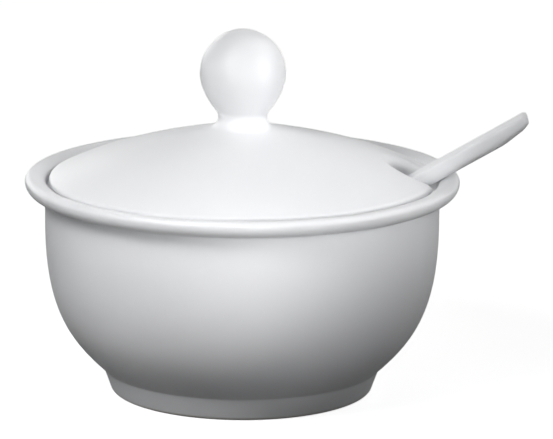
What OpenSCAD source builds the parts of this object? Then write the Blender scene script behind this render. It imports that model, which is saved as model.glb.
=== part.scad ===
// Round lidded sauce bowl with a spoon, in millimetres, +Z up.
// Origin: bowl axis on the table plane. The spoon notch and the spoon face +X.

/* [Bowl] */
// outer radius of the straight upper wall
bowl_r = 53.5; // [51:0.5:56]
// height of the rim crown above the table
bowl_h = 59.5; // [57:0.1:64]
// thickness of the bowl wall
wall = 4; // [3.4:0.1:4.6]
// thickness of the floor in the middle
floor_t = 4.5; // [3.5:0.25:5]
// height where the wall starts to turn in
belly_h = 46.5; // [42:0.5:49]
// height over which the belly keeps its fullness under the wall
belly_full = 23.8; // [18:0.2:28]
// run of the belly out from the foot before it turns up
belly_low = 12.2; // [8:0.2:15]
// slope of the belly where it leaves the foot
belly_angle = 42.5; // [34:0.5:50]

/* [Foot] */
// radius of the foot ring under the belly
foot_r = 38.1; // [35:0.1:41]
// height of the belly's start above the table
foot_h = 6.7; // [5.5:0.1:8]
// width of the ring that stands on the table
foot_w = 3.2; // [2.4:0.1:5]
// inward lean of the foot's outer side
foot_lean = 20; // [5:1:28]
// hollow under the floor inside the foot ring
foot_hollow = 3.5; // [2.5:0.1:4]
// rounding of the foot's lower outer edge
foot_edge = 1.3; // [0.6:0.1:1.8]
// hollow round between belly and foot
foot_cove = 1; // [0.5:0.1:1.6]

/* [Rim] */
// projection of the rim beyond the wall
rim_out = 5.4; // [4.8:0.1:6.2]
// height of the crown above the rim's widest line
rim_crown = 1.5; // [1:0.1:2]
// distance of the crown from the rim's widest line
rim_shoulder = 1.7; // [1.4:0.1:2.2]
// round of the rim's lower outside
rim_roll = 3.1; // [2.4:0.1:3.4]
// hollow round between the rim and the wall
rim_cove = 1.2; // [0.6:0.1:1.4]
// slope to which the rim's top falls towards the lid
rim_slope = 30; // [18:1:30]
// rounding of the rim's inner edge
rim_inner = 1.5; // [0.8:0.1:1.8]
// depth of the lid seat below the crown
seat_depth = 3.2; // [2.8:0.1:3.8]
// step of the seat wall inward from the bowl wall's outside
seat_step = 0.4; // [0.3:0.1:1]

/* [Lid] */
// rise of the dome from the lid's edge to the neck
lid_rise = 13.1; // [11:0.1:17]
// thickness of the dome
lid_t = 4; // [3:0.1:4.2]
// thickness of the rounded lid edge
lid_edge = 2.9; // [2.4:0.1:3.2]
// slope of the dome at the neck
lid_top_slope = 14; // [10:0.5:18]
// slope of the dome at the edge
lid_edge_slope = 26; // [20:0.5:30]
// depth of the locating ring below the lid's edge
ring_h = 4.2; // [3:0.1:6]
// thickness of the locating ring
ring_t = 3.3; // [2.6:0.1:4]
// play between the lid and the bowl, per side
lid_play = 0.7; // [0.5:0.1:1.2]
// space left under the lid at rest
lid_rest = 0.3; // [0.2:0.05:0.4]

/* [Knob] */
// radius of the egg-shaped knob
knob_r = 11.65; // [9.5:0.05:13]
// height of the knob above its widest line
knob_top = 12.2; // [9:0.1:15]
// height of the knob's widest line above its neck
knob_low = 9.9; // [8:0.1:13]
// radius of the neck
neck_r = 6.6; // [5:0.1:7.4]
// hollow round of the neck
neck_cove = 3; // [2:0.1:3.4]
// turn of the neck outward where the knob starts
neck_angle = 40; // [34:0.5:46]

/* [Notch] */
// half width of the spoon notch
notch_r = 8.2; // [7.5:0.1:10]
// straight run of the notch's sides before its mouth
notch_side = 2.1; // [0:0.1:4]
// rounding of the notch's outer corners
notch_corner = 1.6; // [1:0.1:4]

/* [Spoon] */
// width of the handle
handle_w = 7; // [5.5:0.1:8]
// thickness of the handle
handle_t = 4.7; // [3.6:0.1:5.2]
// length of the handle outside the rim
handle_out = 28.4; // [20:0.2:34]
// width of the scoop
scoop_w = 24; // [18:0.5:26]
// length of the scoop with its shoulder
scoop_l = 36; // [30:0.5:40]
// depth of the hollow in the scoop
scoop_d = 6; // [5:0.1:7]
// thickness of the scoop under its hollow
scoop_t = 2.4; // [2:0.1:3]
// space left under the spoon at rest
spoon_rest = 0.3; // [0.2:0.05:0.4]
// how far inside the floor's edge the scoop ends
scoop_in = 1.2; // [0.8:0.1:4]

/* [Hidden] */
turn_fn = 72;
porcelain = [0.93, 0.93, 0.91];

// point at angle a on a round of radius r about c
function polar(c, r, a) = c + r * [cos(a), sin(a)];
// n steps along a round about c
function arc(c, r, a0, a1, n) = [for (i = [0:n]) polar(c, r, a0 + (a1 - a0) * i / n)];
// point and direction at t on a curve with four guide points
function bez(p, t) = pow(1 - t, 3) * p[0] + 3 * t * pow(1 - t, 2) * p[1]
  + 3 * t * t * (1 - t) * p[2] + pow(t, 3) * p[3];
function bez_dir(p, t) = pow(1 - t, 2) * (p[1] - p[0]) + 2 * t * (1 - t) * (p[2] - p[1])
  + t * t * (p[3] - p[2]);
// the same curve moved d to its left
function beside(p, d, n) =
  [for (i = [0:n]) let (v = bez_dir(p, i / n)) bez(p, i / n) + d * [-v[1], v[0]] / norm(v)];
// the same points in the other order
function back(l) = [for (i = [len(l) - 1:-1:0]) l[i]];
// rises smoothly from 0 at a to 1 at b
function ease(a, b, x) = let (u = max(0, min(1, (x - a) / (b - a)))) u * u * (3 - 2 * u);

// bowl: heights and radii shared by its pieces
inner_r = bowl_r - wall;
seat_r = bowl_r - seat_step;
seat_z = bowl_h - seat_depth;
nose_z = bowl_h - rim_crown;
floor_z = foot_hollow + floor_t;
belly_dir = [cos(belly_angle), sin(belly_angle)];
belly = [
  [foot_r, foot_h],
  [foot_r, foot_h] + belly_low * belly_dir,
  [bowl_r, belly_h - belly_full],
  [bowl_r, belly_h]
];
belly_steps = 14;
inside = beside(belly, wall, belly_steps);
floor_edge = inside[0];
floor_flat = 0.55;
floor_bend = 0.06;
floor_curve = [
  [floor_edge[0] * floor_flat, floor_z],
  [floor_edge[0] * (1 - 4 * floor_bend), floor_z],
  floor_edge - floor_edge[0] * floor_bend * belly_dir,
  floor_edge
];

// foot: side, cove and standing ring
cove_c = polar([foot_r, foot_h], foot_cove, belly_angle - 90);
side_top = polar(cove_c, -foot_cove, -foot_lean);
side_low_z = foot_edge * (1 - sin(foot_lean));
side_low_r = side_top[0] - (side_top[1] - side_low_z) * tan(foot_lean);
edge_c = [side_low_r - foot_edge * cos(foot_lean), foot_edge];
stand_r = edge_c[0] - foot_w;
stand_round = 0.8;
hollow_round = 1.2;

// rim: round underside, crown that falls to the lid, rounded inner edge
rim_r = bowl_r + rim_out;
roll_c = [rim_r - rim_roll, nose_z];
cove_top = nose_z - rim_roll - rim_cove;
crown_r = rim_r - rim_shoulder;
crown_round = rim_inner + (crown_r - seat_r - rim_inner) / sin(rim_slope);
crown_c = [crown_r, bowl_h - crown_round];
rest_c = polar(crown_c, crown_round - rim_inner, 90 + rim_slope);
ledge_round = 0.8;

bowl_shape = concat(
  [[0, foot_hollow]],
  arc([stand_r - stand_round - hollow_round, foot_hollow - hollow_round], hollow_round, 90, 0, 3),
  arc([stand_r, stand_round], stand_round, 180, 270, 3),
  arc(edge_c, foot_edge, -90, -foot_lean, 4),
  arc(cove_c, -foot_cove, -foot_lean, belly_angle - 90, 3),
  [for (i = [1:belly_steps]) bez(belly, i / belly_steps)],
  arc([bowl_r + rim_cove, cove_top], -rim_cove, 0, -90, 4),
  arc(roll_c, rim_roll, -90, 0, 8),
  [for (i = [1:4]) [crown_r + rim_shoulder * cos(18 * i), nose_z + rim_crown * sin(18 * i)]],
  arc(crown_c, crown_round, 90, 90 + rim_slope, 4),
  arc(rest_c, rim_inner, 102 + rim_slope, 180, 4),
  [[seat_r, seat_z]],
  arc([inner_r + ledge_round, seat_z - ledge_round], ledge_round, 90, 180, 3),
  back(inside),
  back([for (i = [0:4]) bez(floor_curve, i / 5)]),
  [[0, floor_z]]
);

// lid: edge, dome, neck and knob share one outline
lid_r = seat_r - lid_play;
lid_z = seat_z + lid_rest;
edge_round = lid_edge / 2;
lid_edge_c = [lid_r - edge_round, lid_z + edge_round];
dome_low = polar(lid_edge_c, edge_round, 90 - lid_edge_slope);
dome_high = [neck_r + neck_cove * (1 - sin(lid_top_slope)), dome_low[1] + lid_rise];
neck_c = [neck_r + neck_cove, dome_high[1] + neck_cove * cos(lid_top_slope)];
neck_top = polar(neck_c, -neck_cove, -neck_angle);
knob_z = neck_top[1] + knob_low;
knob_side = [
  neck_top,
  neck_top + 0.3 * knob_low * [sin(neck_angle), cos(neck_angle)],
  [knob_r, knob_z - 0.35 * knob_low],
  [knob_r, knob_z]
];
dome_run = (dome_low[0] - dome_high[0]) / 3;
dome = [
  dome_high,
  dome_high + dome_run * [1, -tan(lid_top_slope)],
  dome_low + dome_run * [-1, tan(lid_edge_slope)],
  dome_low
];
dome_steps = 12;
knob_steps = 8;
under = beside(dome, -lid_t, dome_steps);
ring_r = inner_r - lid_play;
ring_in = ring_r - ring_t;
ring_z = lid_z - ring_h;
ring_round = 0.9;
under_in = [for (p = under) if (p[0] < ring_in - ring_round) p];
under_last = under_in[len(under_in) - 1];

lid_shape = concat(
  [[0, under[0][1]]],
  under_in,
  [[ring_in, under_last[1] - (ring_in - under_last[0]) * tan(lid_edge_slope)]],
  arc([ring_in + ring_round, ring_z + ring_round], ring_round, 180, 270, 3),
  arc([ring_r - ring_round, ring_z + ring_round], ring_round, 270, 360, 3),
  [[ring_r, lid_z]],
  arc(lid_edge_c, edge_round, -90, 90 - lid_edge_slope, 6),
  back([for (i = [1:dome_steps - 1]) bez(dome, i / dome_steps)]),
  arc(neck_c, -neck_cove, 90 - lid_top_slope, -neck_angle, 6),
  [for (i = [1:knob_steps]) bez(knob_side, i / knob_steps)],
  [for (i = [1:knob_steps]) let (a = 90 * i / knob_steps)
    [knob_r * cos(a), knob_z + knob_top * sin(a)]]
);

// notch: half-round end, straight sides and rounded mouth
mouth_x = sqrt(pow(lid_r, 2) - pow(notch_r + notch_corner, 2)) - notch_corner;
notch_x = mouth_x - notch_side;
mouth = arc([mouth_x, notch_r + notch_corner], notch_corner, -90, 0, 5);
notch_shape = concat(
  arc([notch_x, 0], notch_r, 90, 270, 20),
  [for (p = mouth) [p[0], -p[1]]],
  [[2 * lid_r, -notch_r - notch_corner], [2 * lid_r, notch_r + notch_corner]],
  back(mouth)
);

// spoon: lies on the rim's inner edge and ends over the floor's edge
rest_gap = rim_inner + spoon_rest;
heel_drop = 1.9;
heel = [-floor_edge[0] + scoop_in, floor_edge[1] - heel_drop];
heel_reach = norm(rest_c - heel);
heel_rise = atan2(rest_c[1] - heel[1], rest_c[0] - heel[0]);
spoon_tilt = heel_rise + asin(rest_gap / heel_reach);
spoon_in = sqrt(pow(heel_reach, 2) - pow(rest_gap, 2));
spoon_at = polar(rest_c, rest_gap, spoon_tilt + 90);
spoon_l = spoon_in + handle_out;
scoop_mid = scoop_l * 0.42;
tip_l = 3;
end_l = 1.6;
taper_l = 10;
end_blunt = 0.9;
taper = 0.25;
lip = 1.2;
flat_share = 0.92;
tip_steps = 15;
end_steps = 6;
top_steps = 8;
low_steps = 14;

// how full the section is near the two ends
function tip_full(x) = x < tip_l ? sqrt(1 - pow((tip_l - x) / tip_l, 2)) : 1;
function end_full(x) =
  let (u = max(0, x - (spoon_l - end_l)) / end_l) pow(1 - pow(u * end_blunt, 3), 1 / 3);
// half width, hollow and thickness at x from the scoop's end
function half_w(x) = end_full(x) * (x < scoop_mid
  ? scoop_w / 2 * sqrt(1 - pow((scoop_mid - x) / scoop_mid, 2))
  : scoop_w / 2 + (handle_w - scoop_w) / 2 * ease(scoop_mid, scoop_l, x));
function hollow(x) = let (u = (x - scoop_mid) / scoop_mid)
  abs(u) < 1 ? scoop_d * pow(1 - u * u, 0.8) : 0;
function thick(x) = end_full(x) * tip_full(x)
  * (scoop_t + (handle_t - scoop_t) * ease(scoop_mid, scoop_l, x))
  * (1 - taper * ease(spoon_l - taper_l, spoon_l, x));
// fullness of the underside, round on the scoop and flatter on the handle
function swell(x, v) = sign(v) * pow(abs(v), 2 / (2 + ease(scoop_mid, scoop_l, x)));
// one cross-section: x along, y across, z up from the underside of the handle
function section(x) =
  let (w = half_w(x), d = hollow(x), t = thick(x), drop = handle_t / 2 * (1 - end_full(x)))
  concat(
    [for (i = [0:top_steps]) let (v = 2 * i / top_steps - 1)
      [x, v * flat_share * w, handle_t - drop - d * (1 - v * v)]],
    [for (i = [0:low_steps]) let (a = 180 * i / low_steps, side = min(lip, t * 0.4))
      [x, w * swell(x, cos(a)), handle_t - drop - side - (d + t - side) * swell(x, sin(a))]]
  );
spoon_x = concat(
  [for (i = [0:tip_steps]) scoop_l * pow((i + 0.5) / (tip_steps + 0.5), 1.5)],
  [for (i = [1:3]) scoop_l + (spoon_l - taper_l - scoop_l) * i / 3],
  [for (i = [1:3]) spoon_l - taper_l + (taper_l - end_l) * i / 3],
  [for (i = [1:end_steps]) spoon_l - end_l * pow(1 - i / end_steps, 1.6)]
);
ring_n = top_steps + low_steps + 2;
spoon_points = [for (x = spoon_x) each section(x)];
spoon_faces = concat(
  [[for (j = [0:ring_n - 1]) j]],
  [for (i = [0:len(spoon_x) - 2], j = [0:ring_n - 1], half = [0, 1])
    let (k = (j + 1) % ring_n, a = i * ring_n, b = a + ring_n)
    half == 0 ? [a + j, b + j, b + k] : [a + j, b + k, a + k]],
  [[for (j = [ring_n - 1:-1:0]) (len(spoon_x) - 1) * ring_n + j]]
);

module bowl() {
  color(porcelain)
  rotate_extrude($fn = turn_fn)
  polygon(bowl_shape);
}

module lid() {
  color(porcelain)
  difference() {
    rotate_extrude($fn = turn_fn)
    polygon(lid_shape);
    translate([0, 0, ring_z - 1])
    linear_extrude(height = lid_rise + ring_h + lid_edge)
    polygon(notch_shape);
  }
}

module spoon() {
  color(porcelain)
  translate([spoon_at[0], 0, spoon_at[1]])
  rotate([0, -spoon_tilt, 0])
  translate([-spoon_in, 0, 0])
  polyhedron(points = spoon_points, faces = spoon_faces, convexity = 4);
}

bowl();
lid();
spoon();
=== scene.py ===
from math import atan2, cos, hypot, pi, radians, sin, sqrt, tan
import bmesh
import bpy
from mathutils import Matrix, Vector


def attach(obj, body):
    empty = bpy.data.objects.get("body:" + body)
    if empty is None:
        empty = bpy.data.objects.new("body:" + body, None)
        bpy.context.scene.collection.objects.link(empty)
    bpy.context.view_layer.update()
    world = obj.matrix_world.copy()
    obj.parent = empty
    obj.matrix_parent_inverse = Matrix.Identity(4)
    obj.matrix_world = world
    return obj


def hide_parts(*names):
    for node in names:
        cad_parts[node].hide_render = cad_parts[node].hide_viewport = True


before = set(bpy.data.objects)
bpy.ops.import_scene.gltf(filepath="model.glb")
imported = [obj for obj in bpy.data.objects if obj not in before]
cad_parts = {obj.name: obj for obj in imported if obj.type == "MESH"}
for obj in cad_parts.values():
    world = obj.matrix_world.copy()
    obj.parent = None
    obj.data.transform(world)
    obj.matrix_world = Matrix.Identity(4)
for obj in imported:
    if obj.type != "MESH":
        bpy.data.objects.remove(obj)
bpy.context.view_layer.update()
scene = bpy.context.scene
scene.view_settings.view_transform = "Standard"
mm = 0.001  # the dictionaries are in millimetres, the scene is in metres
weld = 0.002 * mm  # points closer than this become one
hair = 1e-6  # slack for comparing millimetres
print("frame loaded:", sorted(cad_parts))


def onRound(centre, radius, angle):
    a = radians(angle)
    return (centre[0] + radius * cos(a), centre[1] + radius * sin(a))


def roundPoints(centre, radius, start, end, steps):
    return [onRound(centre, radius, start + (end - start) * i / steps) for i in range(steps + 1)]


def straightPoints(a, b, steps):  # closer together near both ends, to hold the rounds there
    out = []
    for i in range(1, steps):
        t = (1 - cos(pi * i / steps)) / 2
        out.append((a[0] + (b[0] - a[0]) * t, a[1] + (b[1] - a[1]) * t))
    return out


def curvePoint(guide, t):
    w = ((1 - t) ** 3, 3 * t * (1 - t) ** 2, 3 * t * t * (1 - t), t ** 3)
    return tuple(sum(w[k] * guide[k][i] for k in range(4)) for i in range(2))


def curveTurn(guide, t):
    w = ((1 - t) ** 2, 2 * t * (1 - t), t * t)
    d = [sum(w[k] * (guide[k + 1][i] - guide[k][i]) for k in range(3)) for i in range(2)]
    size = hypot(*d)
    return (d[0] / size, d[1] / size)


def curvePoints(guide, steps):
    return [curvePoint(guide, i / steps) for i in range(steps + 1)]


def besidePoints(guide, distance, steps):  # the same curve, moved to its left
    out = []
    for i in range(steps + 1):
        p, d = curvePoint(guide, i / steps), curveTurn(guide, i / steps)
        out.append((p[0] - distance * d[1], p[1] + distance * d[0]))
    return out


def roundHeight(radius, away):  # height of a round above its middle, at a distance to the side
    return sqrt(max(0.0, radius * radius - away * away))


def smoothStep(a, b, x):
    u = max(0.0, min(1.0, (x - a) / (b - a)))
    return u * u * (3 - 2 * u)


def clearSelection():
    if bpy.context.mode != "OBJECT":
        bpy.ops.object.mode_set(mode="OBJECT")
    bpy.ops.object.select_all(action="DESELECT")


def drawProfile(name, points):  # a plane is collapsed to one point, which is extruded along the outline
    clearSelection()
    bpy.ops.mesh.primitive_plane_add(size=mm)
    piece = bpy.context.object
    piece.name = piece.data.name = name
    bpy.ops.object.mode_set(mode="EDIT")
    bpy.ops.mesh.select_all(action="SELECT")
    bpy.ops.mesh.merge(type="CENTER")
    bpy.ops.transform.translate(value=(points[0][0] * mm, 0, points[0][1] * mm))
    for a, b in zip(points, points[1:]):
        step = ((b[0] - a[0]) * mm, 0, (b[1] - a[1]) * mm)
        bpy.ops.mesh.extrude_region_move(TRANSFORM_OT_translate={"value": step})
    return piece


def turnProfile(angle, steps):  # spun about the upright axis, as on a wheel
    bpy.ops.mesh.select_all(action="SELECT")
    bpy.ops.mesh.spin(steps=steps, angle=angle, center=(0, 0, 0), axis=(0, 0, 1), use_auto_merge=False)
    bpy.ops.mesh.select_all(action="SELECT")
    bpy.ops.mesh.remove_doubles(threshold=weld)


def closePiece(piece, sharpAngle):
    bpy.ops.mesh.select_all(action="SELECT")
    bpy.ops.mesh.normals_make_consistent(inside=False)
    bpy.ops.object.mode_set(mode="OBJECT")
    bpy.ops.object.shade_smooth_by_angle(angle=radians(sharpAngle))
    print(piece.name, len(piece.data.polygons), "faces")


bowlSizes = {
    "wallRadius": 53.5, "height": 59.5, "wall": 4.0, "floor": 4.5,
    "bellyHeight": 46.5, "bellyFull": 23.8, "bellyLow": 12.2, "bellyAngle": 42.5,
    "footRadius": 38.1, "footHeight": 6.7, "footWidth": 3.2, "footLean": 20, "footHollow": 3.5,
    "footEdge": 1.3, "footCove": 1.8, "standRound": 0.8, "hollowRound": 1.2,
    "rimOut": 5.4, "rimCrown": 1.5, "rimShoulder": 1.7, "rimRoll": 3.1, "rimCove": 1.2, "rimSlope": 30,
    "rimInner": 1.5,
    "seatDepth": 3.2, "seatStep": 0.4, "seatRound": 0.5, "ledgeRound": 0.8,
    "floorFlat": 0.55, "floorBend": 0.06, "floorEase": 4,
    "columns": 160, "bellyRows": 52, "insideRows": 44, "flatRows": 8, "shoulderRows": 12, "sharpAngle": 40,
}


def bowlOutline(s):
    wallR, top = s["wallRadius"], s["height"]
    innerR, seatR, seatZ = wallR - s["wall"], wallR - s["seatStep"], top - s["seatDepth"]
    noseZ, floorZ = top - s["rimCrown"], s["footHollow"] + s["floor"]
    lean, slope = s["footLean"], s["bellyAngle"]
    start = (s["footRadius"], s["footHeight"])
    belly = [start, onRound(start, s["bellyLow"], slope),
             (wallR, s["bellyHeight"] - s["bellyFull"]), (wallR, s["bellyHeight"])]
    inside = besidePoints(belly, s["wall"], s["insideRows"])
    edge = inside[0]
    bend = edge[0] * s["floorBend"]
    dish = [(edge[0] * s["floorFlat"], floorZ), (edge[0] - s["floorEase"] * bend, floorZ),
            onRound(edge, -bend, slope), edge]
    coveC = onRound(start, s["footCove"], slope - 90)
    sideTop = onRound(coveC, -s["footCove"], -lean)
    lowZ = s["footEdge"] * (1 - sin(radians(lean)))
    lowR = sideTop[0] - (sideTop[1] - lowZ) * tan(radians(lean))
    edgeC = (lowR - s["footEdge"] * cos(radians(lean)), s["footEdge"])
    standR = edgeC[0] - s["footWidth"]
    hollowC = (standR - s["standRound"] - s["hollowRound"], s["footHollow"] - s["hollowRound"])
    rollC = (wallR + s["rimOut"] - s["rimRoll"], noseZ)
    rimHollowC = (wallR + s["rimCove"], noseZ - s["rimRoll"] - s["rimCove"])
    crownR = wallR + s["rimOut"] - s["rimShoulder"]
    crownRound = s["rimInner"] + (crownR - seatR - s["rimInner"]) / sin(radians(s["rimSlope"]))
    crownC = (crownR, top - crownRound)
    restC = onRound(crownC, crownRound - s["rimInner"], 90 + s["rimSlope"])
    n = s["flatRows"]
    out = [(0, s["footHollow"])]
    out += [(hollowC[0] * k / n, s["footHollow"]) for k in range(1, n)]
    out += straightPoints((hollowC[0] * (n - 1) / n, s["footHollow"]), (hollowC[0], s["footHollow"]), 4)[1:]
    out += roundPoints(hollowC, s["hollowRound"], 90, 0, 7)
    out += straightPoints((hollowC[0] + s["hollowRound"], hollowC[1]),
                          (standR - s["standRound"], s["standRound"]), 4)
    out += roundPoints((standR, s["standRound"]), s["standRound"], 180, 270, 7)
    out += straightPoints((standR, 0), (edgeC[0], 0), 6)
    out += roundPoints(edgeC, s["footEdge"], -90, -lean, 8)
    out += straightPoints((lowR, lowZ), sideTop, 6)
    out += roundPoints(coveC, -s["footCove"], -lean, slope - 90, 10)
    out += curvePoints(belly, s["bellyRows"])[1:]
    out += straightPoints(belly[3], (wallR, rimHollowC[1]), 5)
    out += roundPoints(rimHollowC, -s["rimCove"], 0, -90, 9)
    out += straightPoints(out[-1], (rollC[0], out[-1][1]), 4)
    out += roundPoints(rollC, s["rimRoll"], -90, 0, 20)
    for i in range(1, s["shoulderRows"] + 1):
        a = pi / 2 * i / s["shoulderRows"]
        out.append((crownR + s["rimShoulder"] * cos(a), noseZ + s["rimCrown"] * sin(a)))
    out += roundPoints(crownC, crownRound, 90, 90 + s["rimSlope"], 12)[1:]
    out += roundPoints(restC, s["rimInner"], 90 + s["rimSlope"], 180, 9)[1:]
    seatC = (seatR - s["seatRound"], seatZ + s["seatRound"])
    out += roundPoints(seatC, s["seatRound"], 0, -90, 5)
    ledgeC = (innerR + s["ledgeRound"], seatZ - s["ledgeRound"])
    out += straightPoints(out[-1], (ledgeC[0], seatZ), 5)
    out += roundPoints(ledgeC, s["ledgeRound"], 90, 180, 6)
    out += straightPoints(out[-1], inside[-1], 8)
    out += inside[::-1]
    out += curvePoints(dish, 14)[::-1][1:]
    out += [(dish[0][0] * k / n, floorZ) for k in range(n - 1, -1, -1)]
    return out


bowlShell = drawProfile("bowlShell", bowlOutline(bowlSizes))
turnProfile(2 * pi, bowlSizes["columns"])
closePiece(bowlShell, bowlSizes["sharpAngle"])

lidSizes = {
    "radius": 52.4, "bottom": 56.6, "edge": 2.9, "rise": 13.1, "thick": 4.0, "topSlope": 14, "edgeSlope": 26,
    "ringOuter": 48.8, "ringInner": 45.5, "ringBottom": 52.4, "ringRound": 0.9, "ringFillet": 0.6,
    "domeFillet": 1.0, "underMiddle": 14.0, "underPower": 1.5,
    "knobRadius": 11.65, "knobTop": 12.2, "knobLow": 9.9, "knobFlare": 0.3, "knobFull": 0.35,
    "neckRadius": 6.6, "neckCove": 3.0, "neckAngle": 40,
    "notchRadius": 8.2, "notchSide": 2.1, "notchCorner": 1.6, "notchSoft": 2.7, "notchUnder": 0.6,
    "softShare": 0.68, "underShare": 0.27, "notchReach": 4, "notchSpread": 30, "pullFrom": 20, "pullShort": 1,
    "halfColumns": 120, "innerRows": 18, "middleRows": 12, "knobRows": 20, "crownRows": 24, "underRows": 300,
    "notchRows": (0.05, 0.16, 0.34, 0.6, 0.95, 1.4, 2.1, 3.1), "rowGap": 0.07, "sharpAngle": 40,
}


def lidGuide(s):
    edgeR = s["edge"] / 2
    edgeC = (s["radius"] - edgeR, s["bottom"] + edgeR)
    low = onRound(edgeC, edgeR, 90 - s["edgeSlope"])
    slope = radians(s["topSlope"])
    high = (s["neckRadius"] + s["neckCove"] * (1 - sin(slope)), low[1] + s["rise"])
    run = (low[0] - high[0]) / 3
    dome = [high, (high[0] + run, high[1] - run * tan(slope)),
            (low[0] - run, low[1] + run * tan(radians(s["edgeSlope"]))), low]
    neckC = (s["neckRadius"] + s["neckCove"], high[1] + s["neckCove"] * cos(slope))
    neckTop = onRound(neckC, -s["neckCove"], -s["neckAngle"])
    knobZ = neckTop[1] + s["knobLow"]
    flare = onRound(neckTop, s["knobFlare"] * s["knobLow"], 90 - s["neckAngle"])
    side = [neckTop, flare, (s["knobRadius"], knobZ - s["knobFull"] * s["knobLow"]), (s["knobRadius"], knobZ)]
    return {"edgeR": edgeR, "edgeC": edgeC, "dome": dome, "neckC": neckC, "knobZ": knobZ, "knobSide": side}


def notchGuide(s):  # plan of the notch on the far side, from its inner end out to the lid's edge
    wide = s["notchRadius"] + s["notchCorner"]
    mouthX = sqrt(s["radius"] ** 2 - wide ** 2) - s["notchCorner"]
    endX = mouthX - s["notchSide"]
    plan = [(endX - s["notchRadius"] * cos(radians(a)), s["notchRadius"] * sin(radians(a)))
            for a in range(0, 91, 3)]
    plan += [onRound((mouthX, wide), s["notchCorner"], a) for a in range(-90, 1, 9)]
    return [(hypot(*p), atan2(p[1], p[0]), p) for p in plan]


notchPlan = notchGuide(lidSizes)
notchStart = notchPlan[0][0]


def notchTurn(r):  # half angle that the notch takes at a radius
    if r <= notchStart:
        return 0.0
    for a, b in zip(notchPlan, notchPlan[1:]):
        if r <= b[0]:
            return a[1] + (b[1] - a[1]) * (r - a[0]) / (b[0] - a[0])
    return notchPlan[-1][1]


def notchDistance(x, y):
    best = 1e9
    for a, b in zip(notchPlan, notchPlan[1:]):
        ax, ay = a[2]
        dx, dy = b[2][0] - ax, b[2][1] - ay
        t = max(0.0, min(1.0, ((x - ax) * dx + (y - ay) * dy) / (dx * dx + dy * dy)))
        best = min(best, hypot(x - ax - dx * t, y - ay - dy * t))
    return best


def lidRows(s, g):  # the outline from the middle of the underside to the top of the knob
    edgeC, edgeR, dome = g["edgeC"], g["edgeR"], g["dome"]
    under = besidePoints(dome, -s["thick"], s["underRows"])

    def topZ(r):
        if r > dome[3][0]:
            return edgeC[1] + roundHeight(edgeR, r - edgeC[0])
        return curvePoint(dome, (r - dome[0][0]) / (dome[3][0] - dome[0][0]))[1]

    def underZ(r):
        for a, b in zip(under, under[1:]):
            if r <= b[0]:
                return a[1] + (b[1] - a[1]) * (r - a[0]) / (b[0] - a[0])
        return under[-1][1]

    ringIn, ringOut, ringZ, soft = s["ringInner"], s["ringOuter"], s["ringBottom"], s["ringRound"]
    filletR = s["domeFillet"]
    tangentR = ringIn - filletR * (1 - sin(radians(s["edgeSlope"])))
    filletZ = underZ(tangentR) - filletR * cos(radians(s["edgeSlope"]))

    def lowZ(r):
        if r > edgeC[0]:
            return edgeC[1] - roundHeight(edgeR, r - edgeC[0])
        if r >= ringOut:
            away = max(0, ringOut + s["ringFillet"] - r)
            return s["bottom"] - s["ringFillet"] + roundHeight(s["ringFillet"], away)
        if r >= ringIn:
            away = max(0, ringIn + soft - r, r - ringOut + soft)
            return ringZ + soft - roundHeight(soft, away)
        if r > tangentR:
            return filletZ + roundHeight(filletR, r - ringIn + filletR)
        return underZ(r)

    radii = [edgeC[0] + edgeR * cos(radians(a)) for a in (0, 9, 18, 27, 36, 45, 54, 64, 76, 90)]
    radii += [ringOut + s["ringFillet"] * (1 - cos(radians(a))) for a in (0, 30, 60, 90)]
    radii += [ringOut - soft * (1 - cos(radians(a))) for a in (25, 50, 70, 90)]
    radii += [ringIn + soft * (1 - cos(radians(a))) for a in (0, 25, 50, 70, 90)]
    radii += [ringIn - filletR * (1 - cos(radians(a))) for a in (25, 45, 55)]
    radii += [p[0] for p in notchPlan[::2]] + [notchPlan[-1][0]]
    kept = [s["radius"], ringOut, ringIn, notchStart]
    for r in sorted(radii, reverse=True):
        if min(abs(r - k) for k in kept) > s["rowGap"]:
            kept.append(r)
    kept.sort(reverse=True)
    inward = [notchStart - d for d in s["notchRows"]]  # close rows carry the notch's soft edge
    count = s["innerRows"]
    inner = [inward[-1] + (dome[0][0] - inward[-1]) * k / count for k in range(1, count + 1)]
    wallIn = straightPoints((ringIn, lowZ(ringIn - hair)), (ringIn, ringZ + soft), 5)
    wallOut = straightPoints((ringOut, ringZ + soft), (ringOut, s["bottom"] - s["ringFillet"]), 4)
    middleR = s["underMiddle"]  # inside it the underside closes in a shallow dome
    low = []
    for k in range(s["middleRows"]):
        t = k / s["middleRows"]
        rise = (1 - t * t) ** s["underPower"]
        low.append((middleR * t, underZ(middleR) + (under[0][1] - underZ(middleR)) * rise))
    low += [(r, underZ(r)) for r in sorted(inner + inward) if r >= middleR]
    for r in kept[::-1]:
        if abs(r - ringIn) < hair:
            low += [(r, lowZ(r - hair))] + wallIn + [(r, ringZ + soft)]
        elif abs(r - ringOut) < hair:
            low += [(r, ringZ + soft)] + wallOut + [(r, lowZ(r))]
        else:
            low.append((r, lowZ(r)))
    top = [(r, topZ(r)) for r in kept[1:] + inward + inner]
    top += roundPoints(g["neckC"], -s["neckCove"], 90 - s["topSlope"], -s["neckAngle"], 14)[1:]
    top += curvePoints(g["knobSide"], s["knobRows"])[1:]
    n = s["crownRows"]
    for i in range(1, n + 1):
        a = pi / 2 * i / n
        top.append((s["knobRadius"] * cos(a) if i < n else 0, g["knobZ"] + s["knobTop"] * sin(a)))
    return low, top, topZ, lowZ


lidShape = lidGuide(lidSizes)
lidLow, lidTop, lidTopZ, lidLowZ = lidRows(lidSizes, lidShape)


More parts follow.
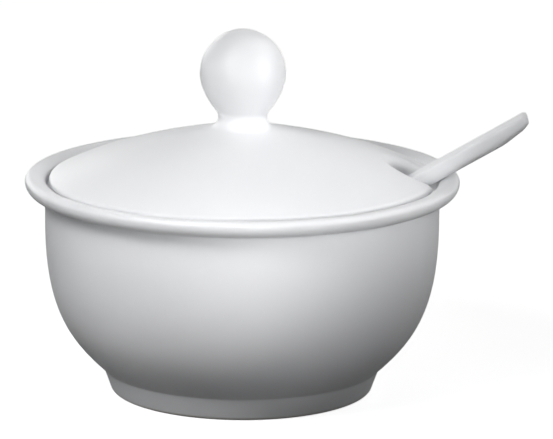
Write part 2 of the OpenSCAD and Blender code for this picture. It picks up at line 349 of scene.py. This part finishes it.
def openNotch(piece, s):  # the seam on +X is drawn apart into the notch, with soft edges, and walled
    bm = bmesh.from_edit_mesh(piece.data)
    spread = radians(s["notchSpread"])
    skin, edgeSlack = 0.01, 1e-4  # how near a point counts as on the surface, and on the notch's end
    seam = []
    for v in bm.verts:
        side = 1 if v.co.y > 0 else -1
        x, y, z = v.co.x / mm, abs(v.co.y / mm), v.co.z / mm
        r, turn = hypot(x, y), atan2(y, x)
        if r < hair or turn > spread:
            continue
        share = turn / spread
        pull = smoothStep(s["pullFrom"], notchStart - s["pullShort"], r)
        first = notchTurn(r)
        turn = first + (spread - first) * (share + (share * share - share) * pull)
        x, y = r * cos(turn), r * sin(turn)
        near = notchStart - s["notchReach"]
        upper = near < r < s["radius"] and z > lidTopZ(r) - skin
        newZ = z
        if r > near:
            height = lidTopZ(r) - lidLowZ(r)
            away = notchDistance(x, y)
            soft = min(s["notchUnder"], s["underShare"] * height)
            if upper:
                soft = min(s["notchSoft"], s["softShare"] * height)
            if away < soft:
                drop = soft - roundHeight(soft, soft - away)
                if upper:
                    newZ = z - drop
                elif z < lidLowZ(r) + skin:
                    newZ = z + drop
        if share < hair and r > notchStart - edgeSlack:
            seam.append((r, z, v))
        v.co = (x * mm, side * y * mm, newZ * mm)
    rows = [row for row in lidLow + lidTop if row[0] > notchStart - edgeSlack]
    tip = max(range(len(rows)), key=lambda i: rows[i][0])
    lower, upper = rows[:tip + 1], rows[tip:][::-1]

    def seamVertex(row):
        return min(seam, key=lambda k: hypot(k[0] - row[0], k[1] - row[1]))[2]

    for a, b in zip(upper, upper[1:]):  # upright strips, from the inner end out to the edge
        strip = [k for k in lower if a[0] - hair < k[0] < b[0] + hair]
        if abs(a[0] - s["ringOuter"]) < hair:
            strip = strip[max(i for i, k in enumerate(strip) if k[0] < a[0] + hair):]
        if abs(b[0] - s["ringInner"]) < hair:
            strip = strip[:min(i for i, k in enumerate(strip) if k[0] > b[0] - hair) + 1]
        bm.faces.new(dict.fromkeys([seamVertex(k) for k in strip] + [seamVertex(b), seamVertex(a)]))
    bmesh.update_edit_mesh(piece.data)


lidCover = drawProfile("lidCover", lidLow + lidTop)
turnProfile(pi, lidSizes["halfColumns"])
openNotch(lidCover, lidSizes)
bpy.ops.object.mode_set(mode="OBJECT")
half = lidCover.modifiers.new("otherHalf", "MIRROR")
half.use_axis = (False, True, False)
half.merge_threshold = weld
bpy.ops.object.modifier_apply(modifier=half.name)
bpy.ops.object.mode_set(mode="EDIT")
closePiece(lidCover, lidSizes["sharpAngle"])

spoonSizes = {
    "tilt": 30.17829, "at": (53.6952, 58.8594), "inside": 101.673, "outside": 28.4,
    "handleWidth": 7.0, "handleThick": 4.7, "scoopWidth": 24.0, "scoopLength": 36.0, "scoopDepth": 6.0,
    "scoopThick": 2.4, "scoopMiddle": 0.42, "dishPower": 0.8,
    "tip": 3.0, "lip": 1.2, "lipShare": 0.4, "flat": 0.92,
    "end": 1.6, "endBlunt": 0.9, "taper": 0.25, "taperLength": 10.0,
    "endLean": 0.24, "endTuck": 0.19, "tuckLength": 3.4,
    "topPoints": 22, "cornerPoints": 5, "lowPoints": 36,
    "scoopRows": 44, "tipShare": 0.4, "tipGather": 1.6, "handleRows": 24, "taperRows": 10, "endRows": 14,
    "sharpAngle": 50,
}


def spoonSection(s, x):
    length = s["inside"] + s["outside"]
    mid = s["scoopLength"] * s["scoopMiddle"]
    u = max(0, x - (length - s["end"])) / s["end"]
    endFull = (1 - (u * s["endBlunt"]) ** 3) ** (1 / 3)
    tipFull = sqrt(1 - ((s["tip"] - x) / s["tip"]) ** 2) if x < s["tip"] else 1
    grow = smoothStep(mid, s["scoopLength"], x)
    if x < mid:
        w = s["scoopWidth"] / 2 * sqrt(1 - ((mid - x) / mid) ** 2)
    else:
        w = s["scoopWidth"] / 2 + (s["handleWidth"] - s["scoopWidth"]) / 2 * grow
    w *= endFull
    v = (x - mid) / mid
    d = s["scoopDepth"] * (1 - v * v) ** s["dishPower"] if abs(v) < 1 else 0
    t = endFull * tipFull * (s["scoopThick"] + (s["handleThick"] - s["scoopThick"]) * grow)
    t *= 1 - s["taper"] * smoothStep(length - s["taperLength"], length, x)
    t *= 1 - s["endTuck"] * smoothStep(length - s["tuckLength"], length, x) ** 2  # rounds the lower corner
    top = s["handleThick"] - s["handleThick"] / 2 * (1 - endFull)
    side = min(s["lip"], t * s["lipShare"])
    out = []
    n = s["topPoints"]
    for i in range(n + 1):
        q = 2 * i / n - 1
        out.append((x, q * s["flat"] * w, top - d * (1 - q * q)))
    for i in range(1, s["cornerPoints"]):
        a = pi / 2 * i / s["cornerPoints"]
        out.append((x, w * (s["flat"] + (1 - s["flat"]) * sin(a)), top - side * (1 - cos(a))))
    n = s["lowPoints"]
    for i in range(n + 1):
        a = pi * i / n
        c, h = abs(cos(a)) ** (2 / (2 + grow)), sin(a) ** (2 / (2 + grow)) if 0 < i < n else 0
        out.append((x, w * (c if i < n / 2 else -c), top - side - (d + t - side) * h))
    for i in range(s["cornerPoints"] - 1, 0, -1):
        a = pi / 2 * i / s["cornerPoints"]
        out.append((x, -w * (s["flat"] + (1 - s["flat"]) * sin(a)), top - side * (1 - cos(a))))
    lean = s["endLean"] * smoothStep(length - 2 * s["end"], length, x)  # the end is cut a little upright
    return [(px + lean * (pz - top + d + t), py, pz) for px, py, pz in out]


def drawSpoon(s):  # a grid is wrapped round the sections from the scoop's tip to the handle's end
    length = s["inside"] + s["outside"]
    share, count = s["tipShare"], s["scoopRows"]
    taperStart = length - s["taperLength"]
    places = [s["scoopLength"] * ((i + share) / (count + share)) ** s["tipGather"] for i in range(count + 1)]
    count = s["handleRows"]
    places += [s["scoopLength"] + (taperStart - s["scoopLength"]) * i / count for i in range(1, count + 1)]
    count = s["taperRows"]
    places += [taperStart + (s["taperLength"] - s["end"]) * i / count for i in range(1, count + 1)]
    count = s["endRows"]
    places += [length - s["end"] * (1 - sin(pi / 2 * i / count)) for i in range(1, count)]
    rings = [spoonSection(s, x) for x in places]
    around = len(rings[0])
    clearSelection()
    bpy.ops.mesh.primitive_grid_add(x_subdivisions=around, y_subdivisions=len(rings) - 1, size=mm)
    piece = bpy.context.object
    piece.name = piece.data.name = "spoonBody"
    for v in piece.data.vertices:
        row, column = divmod(v.index, around + 1)
        v.co = Vector(rings[row][column % around]) * mm
    bpy.ops.object.mode_set(mode="EDIT")
    bpy.ops.mesh.select_all(action="SELECT")
    bpy.ops.mesh.remove_doubles(threshold=weld)
    bpy.ops.mesh.select_all(action="DESELECT")
    bpy.ops.mesh.select_mode(type="EDGE")
    bpy.ops.mesh.select_non_manifold()
    bpy.ops.mesh.fill_holes(sides=0)
    bpy.ops.mesh.select_mode(type="VERT")
    bpy.ops.mesh.select_all(action="SELECT")
    bpy.ops.transform.translate(value=(-s["inside"] * mm, 0, 0))
    bpy.ops.transform.rotate(value=radians(s["tilt"]), orient_axis="Y", center_override=(0, 0, 0))
    bpy.ops.transform.translate(value=(s["at"][0] * mm, 0, s["at"][1] * mm))
    return piece


spoonBody = drawSpoon(spoonSizes)
closePiece(spoonBody, spoonSizes["sharpAngle"])

for piece, node in ((bowlShell, "bowl"), (lidCover, "lid"), (spoonBody, "spoon")):
    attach(piece, node)
    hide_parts(node)

glazeLooks = {
    "bowlGlaze": {"white": (0.812, 0.819, 0.833), "cloud": (0.8, 0.807, 0.822), "rough": (0.38, 0.45),
                  "seed": 0.0, "bareBelow": 0.0007},
    "lidGlaze": {"white": (0.822, 0.829, 0.843), "cloud": (0.81, 0.817, 0.832), "rough": (0.38, 0.45),
                 "seed": 3.1},
    "spoonGlaze": {"white": (0.822, 0.829, 0.843), "cloud": (0.81, 0.817, 0.832), "rough": (0.38, 0.45),
                   "seed": 6.4},
}
glazeSkin = {
    "cloudScale": 45, "cloudDetail": 3, "cloudRange": (0.3, 0.7),
    "rippleScale": 130, "rippleDetail": 1, "rippleDepth": 0.00006, "rippleStrength": 0.35, "ior": 1.5,
    "bareClay": (0.7, 0.685, 0.66), "bareRough": 0.75, "bareFade": 0.0004,
}


def addNode(tree, kind, **settings):
    node = tree.nodes.new(kind)
    for name, value in settings.items():
        setattr(node, name, value)
    return node


def bareFoot(tree, place, colour, rough, height):  # the ring that stood on the kiln shelf has no glaze
    link = tree.links.new
    level = addNode(tree, "ShaderNodeSeparateXYZ")
    link(place.outputs["Object"], level.inputs["Vector"])
    bare = addNode(tree, "ShaderNodeMapRange")
    bare.inputs["From Min"].default_value = height
    bare.inputs["From Max"].default_value = height + glazeSkin["bareFade"]
    bare.inputs["To Min"].default_value = 1
    bare.inputs["To Max"].default_value = 0
    link(level.outputs["Z"], bare.inputs["Value"])
    clay = addNode(tree, "ShaderNodeMix", data_type="RGBA")
    link(bare.outputs["Result"], clay.inputs["Factor"])
    link(colour, clay.inputs[6])  # the colour sockets of a mix node are its 6 and 7
    clay.inputs[7].default_value = (*glazeSkin["bareClay"], 1)
    dull = addNode(tree, "ShaderNodeMix")
    link(bare.outputs["Result"], dull.inputs["Factor"])
    link(rough, dull.inputs["A"])
    dull.inputs["B"].default_value = glazeSkin["bareRough"]
    return clay.outputs[2], dull.outputs["Result"]


def glazeMaterial(name, look):
    material = bpy.data.materials.new(name)
    material.use_nodes = True
    tree = material.node_tree
    link = tree.links.new
    shader = tree.nodes["Principled BSDF"]
    place = addNode(tree, "ShaderNodeTexCoord")
    shift = addNode(tree, "ShaderNodeMapping")
    shift.inputs["Location"].default_value = (look["seed"], look["seed"] / 2, 0)
    link(place.outputs["Object"], shift.inputs["Vector"])
    cloud = addNode(tree, "ShaderNodeTexNoise")  # slow drift of the white, about 20 mm across
    cloud.inputs["Scale"].default_value = glazeSkin["cloudScale"]
    cloud.inputs["Detail"].default_value = glazeSkin["cloudDetail"]
    link(shift.outputs["Vector"], cloud.inputs["Vector"])
    tone = addNode(tree, "ShaderNodeValToRGB")
    thin, thick = glazeSkin["cloudRange"]
    tone.color_ramp.elements[0].position = thin
    tone.color_ramp.elements[1].position = thick
    tone.color_ramp.elements[0].color = (*look["cloud"], 1)
    tone.color_ramp.elements[1].color = (*look["white"], 1)
    link(cloud.outputs["Fac"], tone.inputs["Fac"])
    gloss = addNode(tree, "ShaderNodeMapRange")
    gloss.inputs["From Min"].default_value = thin
    gloss.inputs["From Max"].default_value = thick
    gloss.inputs["To Min"].default_value = look["rough"][0]
    gloss.inputs["To Max"].default_value = look["rough"][1]
    link(cloud.outputs["Fac"], gloss.inputs["Value"])
    colour, rough = tone.outputs["Color"], gloss.outputs["Result"]
    if "bareBelow" in look:
        colour, rough = bareFoot(tree, place, colour, rough, look["bareBelow"])
    link(colour, shader.inputs["Base Color"])
    link(rough, shader.inputs["Roughness"])
    ripple = addNode(tree, "ShaderNodeTexNoise")  # the slight waves that a dipped glaze dries with
    ripple.inputs["Scale"].default_value = glazeSkin["rippleScale"]
    ripple.inputs["Detail"].default_value = glazeSkin["rippleDetail"]
    link(shift.outputs["Vector"], ripple.inputs["Vector"])
    bump = addNode(tree, "ShaderNodeBump")
    bump.inputs["Strength"].default_value = glazeSkin["rippleStrength"]
    bump.inputs["Distance"].default_value = glazeSkin["rippleDepth"]
    link(ripple.outputs["Fac"], bump.inputs["Height"])
    link(bump.outputs["Normal"], shader.inputs["Normal"])
    shader.inputs["IOR"].default_value = glazeSkin["ior"]
    return material


pieceGlaze = {"bowlGlaze": bowlShell, "lidGlaze": lidCover, "spoonGlaze": spoonBody}
for name, piece in pieceGlaze.items():
    piece.data.materials.clear()
    piece.data.materials.append(glazeMaterial(name, glazeLooks[name]))
print("glazes done")

cameraView = {
    "target": (0, 0, 50.6), "distance": 1200, "elevation": 12.86, "azimuth": 2.5, "roll": 0.4,
    "pixelsPerMm": 3.6838, "pictureSize": (553, 439), "targetPixel": (242.3, 205.9), "sensor": 36,
    "clip": (0.05, 30),
}


def addCamera(c):
    e, a = radians(c["elevation"]), radians(c["azimuth"])
    back = Vector((cos(e) * sin(a), -cos(e) * cos(a), sin(e)))
    target = Vector(c["target"]) * mm
    data = bpy.data.cameras.new("photoView")
    camera = bpy.data.objects.new("photoView", data)
    scene.collection.objects.link(camera)
    wide, high = c["pictureSize"]
    data.sensor_fit = "HORIZONTAL"
    data.sensor_width = c["sensor"]
    data.lens = c["sensor"] * c["pixelsPerMm"] * c["distance"] / wide
    camera.location = target + back * c["distance"] * mm
    right = Vector((cos(a), sin(a), 0))
    up = right.cross(-back)
    roll = radians(c["roll"])
    dx, dy = wide / 2 - c["targetPixel"][0], high / 2 - c["targetPixel"][1]  # from the target to the middle
    across = (dx * cos(roll) + dy * sin(roll)) / c["pixelsPerMm"] * mm
    down = (dy * cos(roll) - dx * sin(roll)) / c["pixelsPerMm"] * mm
    aim = target + right * across - up * down
    turn = (aim - camera.location).to_track_quat("-Z", "Y").to_matrix().to_4x4()
    camera.rotation_euler = turn.to_euler()
    camera.rotation_euler.rotate_axis("Z", roll)
    data.clip_start, data.clip_end = c["clip"]
    scene.camera = camera


addCamera(cameraView)
print("camera done")

floorLook = {"radius": 7.0, "edges": 96, "seen": 0.62, "glow": 0.83, "bounce": 0.03}


def backgroundRays(tree):  # the rays that should find a white studio
    path = addNode(tree, "ShaderNodeLightPath")
    rays = path.outputs["Is Camera Ray"]
    for kind in ("Is Glossy Ray", "Is Transmission Ray"):
        either = addNode(tree, "ShaderNodeMath", operation="MAXIMUM")
        tree.links.new(rays, either.inputs[0])
        tree.links.new(path.outputs[kind], either.inputs[1])
        rays = either.outputs[0]
    return rays


def addFloor(f):
    clearSelection()
    bpy.ops.mesh.primitive_circle_add(vertices=f["edges"], radius=f["radius"], fill_type="NGON",
                                      location=(0, 0, 0))
    floor = bpy.context.object
    floor.name = floor.data.name = "studioFloor"
    material = bpy.data.materials.new("paleFloor")
    material.use_nodes = True
    tree = material.node_tree
    link = tree.links.new
    tree.nodes.clear()
    out = addNode(tree, "ShaderNodeOutputMaterial")
    plain = addNode(tree, "ShaderNodeBsdfDiffuse")  # what the object gets back from the table
    plain.inputs["Color"].default_value = (f["bounce"],) * 3 + (1,)
    pale = addNode(tree, "ShaderNodeBsdfDiffuse")
    pale.inputs["Color"].default_value = (f["seen"],) * 3 + (1,)
    pick = addNode(tree, "ShaderNodeMixShader")
    link(backgroundRays(tree), pick.inputs["Fac"])
    link(plain.outputs[0], pick.inputs[1])
    link(pale.outputs[0], pick.inputs[2])
    lift = addNode(tree, "ShaderNodeMath", operation="MULTIPLY")  # white to the camera, the shadow stays
    lift.inputs[1].default_value = f["glow"]
    link(addNode(tree, "ShaderNodeLightPath").outputs["Is Camera Ray"], lift.inputs[0])
    glow = addNode(tree, "ShaderNodeEmission")
    link(lift.outputs[0], glow.inputs["Strength"])
    both = addNode(tree, "ShaderNodeAddShader")
    link(pick.outputs[0], both.inputs[0])
    link(glow.outputs[0], both.inputs[1])
    link(both.outputs[0], out.inputs["Surface"])
    floor.data.materials.append(material)


addFloor(floorLook)

lampSet = {  # places and sizes in metres, the gridded ones throw a narrow beam
    "leftSoftbox": {"at": (-0.197, -0.235, 0.307), "aim": (0, 0, 0.05), "size": (0.2, 0.2),
                    "spread": 180, "watts": 0.893},
    "leftBellyGrid": {"at": (-0.186, -0.268, 0.303), "aim": (-0.024, -0.036, 0.02), "size": (0.08, 0.08),
                      "spread": 16, "watts": 0.0032},
    "leftRimGrid": {"at": (-0.2145, -0.386, 0.098), "aim": (-0.015, -0.04, 0.07), "size": (0.08, 0.08),
                    "spread": 24, "watts": 0.0079},
    "frontGrid": {"at": (0.079, -0.442, 0.092), "aim": (0.01, -0.05, 0.05), "size": (0.05, 0.05),
                  "spread": 11, "watts": 0.0039},
    "notchGrid": {"at": (0.136, -0.418, 0.31), "aim": (0.046, 0.006, 0.06), "size": (0.04, 0.04),
                  "spread": 6, "watts": 0.00105},
    "rightGrid": {"at": (0.362, -0.199, 0.126), "aim": (0, -0.03, 0.105), "size": (0.1, 0.1),
                  "spread": 32, "watts": 0.0292},
    "acrossGrid": {"at": (0.391, -0.161, 0.229), "aim": (-0.05, 0, 0.058), "size": (0.06, 0.06),
                   "spread": 14, "watts": 0.0061},
    "backSoftbox": {"at": (1.419, 0.819, 1.197), "aim": (0, 0, 0.05), "size": (1.2, 1.2),
                    "spread": 180, "watts": 10.4},
    "backFill": {"at": (-0.9, 1.6, 0.45), "aim": (0, 0, 0.05), "size": (1.0, 0.8),
                 "spread": 180, "watts": 5},
}


def addLamp(name, lamp):
    data = bpy.data.lights.new(name, "AREA")
    data.shape = "RECTANGLE"
    data.size, data.size_y = lamp["size"]
    data.energy = lamp["watts"]
    data.spread = radians(lamp["spread"])
    light = bpy.data.objects.new(name, data)
    scene.collection.objects.link(light)
    light.location = lamp["at"]
    throw = Vector(lamp["aim"]) - Vector(lamp["at"])
    light.rotation_euler = throw.to_track_quat("-Z", "Y").to_euler()
    light.visible_camera = False


for name, lamp in lampSet.items():
    addLamp(name, lamp)

roomLook = {"strength": 0.03, "seen": 1.0}
world = bpy.data.worlds.new("studioRoom")
scene.world = world
world.use_nodes = True
tree = world.node_tree
background = tree.nodes["Background"]
background.inputs["Color"].default_value = (1, 1, 1, 1)
level = addNode(tree, "ShaderNodeMapRange")
level.inputs["To Min"].default_value = roomLook["strength"]
level.inputs["To Max"].default_value = roomLook["seen"]
tree.links.new(backgroundRays(tree), level.inputs["Value"])
tree.links.new(level.outputs["Result"], background.inputs["Strength"])
print("studio done")
